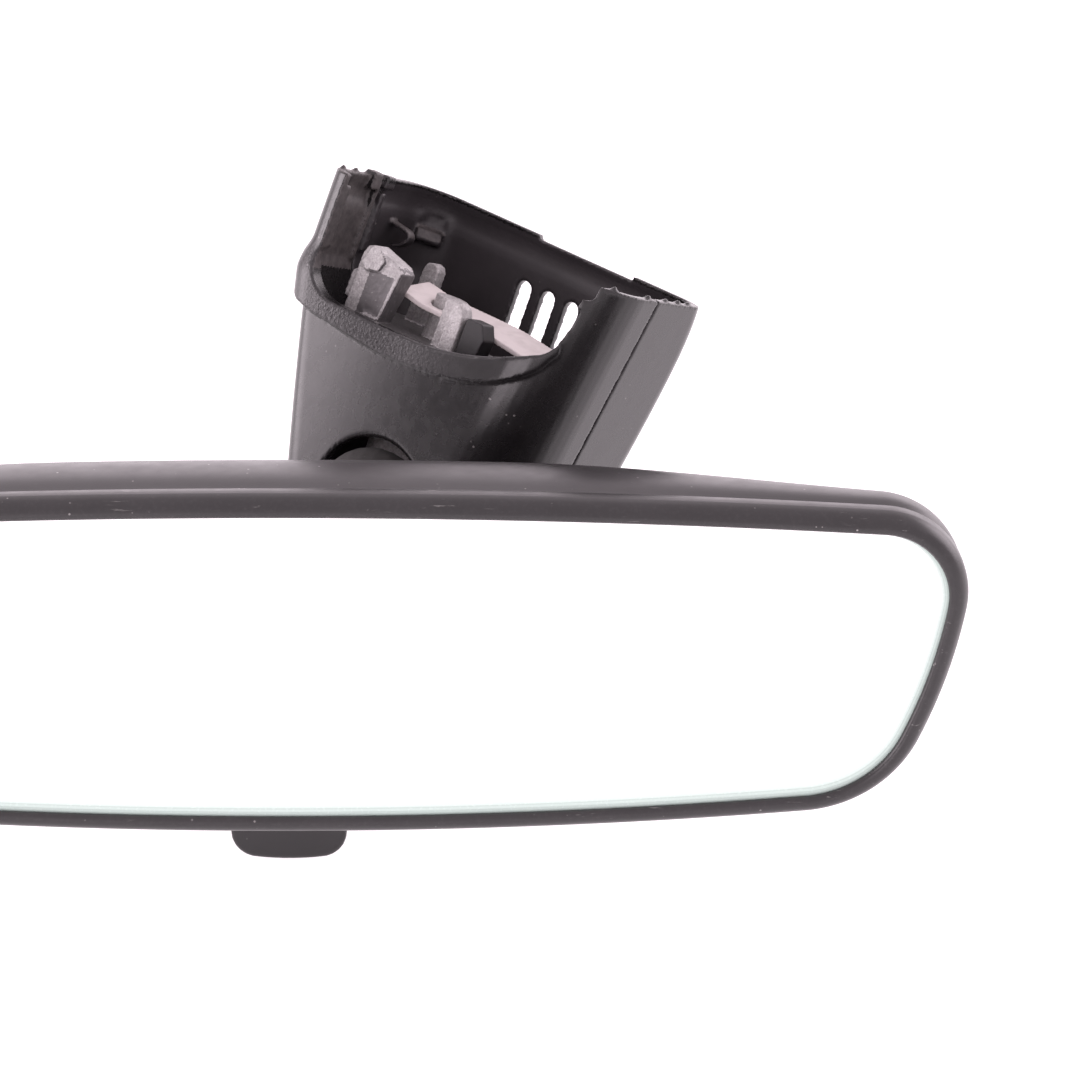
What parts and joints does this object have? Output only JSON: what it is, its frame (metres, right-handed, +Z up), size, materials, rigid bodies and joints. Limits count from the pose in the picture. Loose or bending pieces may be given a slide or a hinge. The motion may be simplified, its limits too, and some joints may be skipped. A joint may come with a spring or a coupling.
{
  "type": "interior rearview mirror",
  "caption": "Interior rearview mirror: wide trapezoid head with a flip lever, on a ball joint and a short arm that enters a slotted two-piece mount cover over a cast windscreen foot.",
  "frame": {"origin": "centre of the round bearing pad on the mount foot, where the foot meets the seat on the windscreen", "axes": "+X along the mirror head, to the right of a driver who looks at the glass; +Y away from the driver; +Z up. The head is upright and the mount is turned about its ball, as it lay when it was measured"},
  "size_m": [0.2384, 0.1182, 0.1081],
  "materials": {
    "case_plastic": "satin black moulded plastic, fine grain, light dust and scuffs",
    "cover_plastic": "satin black moulded plastic with a fine leather grain",
    "black_plastic": "satin black plastic",
    "mirror_silver": "silvered wedge glass with a ground edge",
    "foam": "closed-cell foam",
    "nylon": "moulded nylon",
    "cast_zinc": "rough die-cast zinc alloy, bare",
    "steel": "bright steel",
    "spring_steel": "spring steel with a pale coating",
    "rubber": "black moulded rubber"
  },
  "bodies": {
    "mount": {"foot_casting": "cast_zinc", "mount_arm": "cast_zinc", "arm_pin": "steel", "arm_boot": "rubber", "ball_stud": "steel", "retaining_spring": "spring_steel", "damper_block": "nylon", "cover_rear": "cover_plastic", "cover_front": "cover_plastic"},
    "liner": {"ball_liner": "nylon"},
    "sleeve": {"ball_sleeve": "nylon"},
    "bracket": {"pivot_bracket": "steel", "socket_cup": "cast_zinc", "socket_clamp": "steel", "clamp_screw_left": "steel", "clamp_screw_right": "steel", "bracket_bumper_left": "rubber", "bracket_bumper_right": "rubber"},
    "head": {"front_bezel": "case_plastic", "mirror_glass": "mirror_silver", "mirror_pad": "foam", "glass_carrier": "black_plastic", "rear_case": "case_plastic", "hinge_pin": "steel", "lever_pin": "steel", "detent_spring": "spring_steel"},
    "lever": {"toggle_lever": "black_plastic"}
  },
  "joints": [
    {"name": "head_yaw", "type": "hinge", "parent": "mount", "child": "liner", "pos_m": [-0.0287, -0.0589, -0.0351], "axis": [0, 0, 1], "range_deg": [-50, 6]},
    {"name": "head_roll", "type": "hinge", "parent": "liner", "child": "sleeve", "pos_m": [-0.0287, -0.0589, -0.0351], "axis": [0, 1, 0], "range_deg": [-12, 26]},
    {"name": "head_pitch", "type": "hinge", "parent": "sleeve", "child": "bracket", "pos_m": [-0.0287, -0.0589, -0.0351], "axis": [1, 0, 0], "range_deg": [-10, 24]},
    {"name": "anti_dazzle_flip", "type": "hinge", "parent": "bracket", "child": "head", "pos_m": [-0.0287, -0.0719, -0.0221], "axis": [1, 0, 0], "range_deg": [-4, 0]},
    {"name": "lever_swing", "type": "hinge", "parent": "head", "child": "lever", "pos_m": [-0.0287, -0.0719, -0.0631], "axis": [1, 0, 0], "range_deg": [-24, 0]}
  ],
  "couplings": [
    {"joint": "lever_swing", "follows": "anti_dazzle_flip", "ratio": 6}
  ]
}
